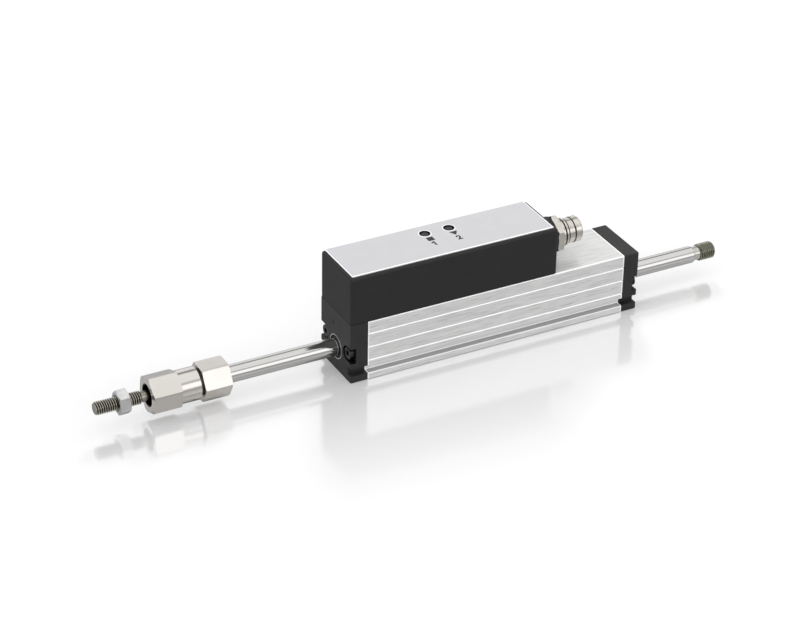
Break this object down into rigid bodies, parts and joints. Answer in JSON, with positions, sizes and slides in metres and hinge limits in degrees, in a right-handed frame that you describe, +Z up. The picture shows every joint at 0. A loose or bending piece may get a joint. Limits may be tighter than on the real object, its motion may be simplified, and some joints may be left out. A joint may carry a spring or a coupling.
{
  "type": "inductive position sensor",
  "caption": "Rod-type linear position sensor: aluminium profile body with moulded end caps, electronics housing with push buttons, round plug connector and ball-jointed rod.",
  "frame": {"origin": "on the underside of the aluminium body, at the middle of its length and width", "axes": "+X along the rod from the ball coupling towards the rod's bare threaded end, +Y across, +Z up towards the label"},
  "size_m": [0.3105, 0.029, 0.0525],
  "materials": {
    "anodised_profile": "natural anodised",
    "nickel": "bright nickel plate",
    "steel_rod": "polished stainless",
    "zinc_steel": "zinc plated",
    "stud_steel": "plain oiled steel",
    "black_steel": "black oxide",
    "wiper_case": "bright",
    "label": "matt anodised",
    "target": "milled",
    "gold_pin": "gold plated",
    "copper_chip": "moulded",
    "black_housing": "moulded, satin",
    "cap_plastic": "moulded, matt",
    "button_plastic": "moulded, matt",
    "slider_plastic": "natural acetal",
    "bush_plastic": "filled bearing polymer",
    "liner_plastic": "bearing polymer",
    "insert_plastic": "moulded",
    "board": "glass-fibre laminate, solder resist",
    "seal_rubber": "nitrile",
    "buffer_rubber": "nitrile"
  },
  "bodies": {
    "sensor_body": {"profile": "anodised_profile", "front_cap": "cap_plastic", "rear_cap": "cap_plastic", "front_cap_gasket": "seal_rubber", "rear_cap_gasket": "seal_rubber", "front_cap_screws": "black_steel", "rear_cap_screws": "black_steel", "front_wiper_case": "wiper_case", "rear_wiper_case": "wiper_case", "front_wiper": "seal_rubber", "rear_wiper": "seal_rubber", "front_bush": "bush_plastic", "rear_bush": "bush_plastic", "end_buffers": "buffer_rubber", "coil_board": "board", "coil_board_chips": "copper_chip", "link_header": "insert_plastic", "link_pins": "gold_pin", "electronics_housing": "black_housing", "housing_gasket": "seal_rubber", "housing_screws": "black_steel", "label_plate": "label", "electronics_board": "board", "board_screws": "zinc_steel", "processor_chip": "copper_chip", "power_inductor": "copper_chip", "board_capacitors": "target", "switch_bodies": "insert_plastic", "connector_shell": "nickel", "connector_insert": "insert_plastic", "contact_pins": "gold_pin", "connector_seal": "seal_rubber", "connector_locknut": "nickel", "terminal_board": "board", "bridge_pins": "gold_pin"},
    "carriage": {"target_carriage": "slider_plastic", "target_plate": "target", "target_screws": "zinc_steel"},
    "rod_assembly": {"rod": "steel_rod", "retaining_rings": "zinc_steel", "thrust_washers": "zinc_steel", "coupling_body": "nickel", "coupling_plug": "nickel", "pressure_piece": "zinc_steel", "disc_springs": "zinc_steel"},
    "ball_seat": {"ball_liner": "liner_plastic"},
    "stud_assembly": {"ball_stud": "stud_steel", "stud_nut": "zinc_steel"},
    "first_button": {"button_1": "button_plastic", "plunger_1": "button_plastic"},
    "second_button": {"button_2": "button_plastic", "plunger_2": "button_plastic"}
  },
  "joints": [
    {"name": "rod_travel", "type": "slide", "parent": "sensor_body", "child": "carriage", "axis": [1, 0, 0], "range_m": [-0.028, 0.028]},
    {"name": "rod_turn", "type": "hinge", "parent": "carriage", "child": "rod_assembly", "pos_m": [0, 0, 0.0114], "axis": [1, 0, 0], "continuous": true},
    {"name": "ball_joint_side_tilt", "type": "hinge", "parent": "rod_assembly", "child": "ball_seat", "pos_m": [-0.15335, 0, 0.0114], "axis": [0, 0, 1], "range_deg": [-9, 9]},
    {"name": "ball_joint_up_tilt", "type": "hinge", "parent": "ball_seat", "child": "stud_assembly", "pos_m": [-0.15335, 0, 0.0114], "axis": [0, 1, 0], "range_deg": [-9, 9]},
    {"name": "button_1_press", "type": "slide", "parent": "sensor_body", "child": "first_button", "axis": [0, 0, -1], "range_m": [0, 0.0005], "stiffness_N_per_m": 800, "springref_m": -0.0005},
    {"name": "button_2_press", "type": "slide", "parent": "sensor_body", "child": "second_button", "axis": [0, 0, -1], "range_m": [0, 0.0005], "stiffness_N_per_m": 800, "springref_m": -0.0005}
  ]
}
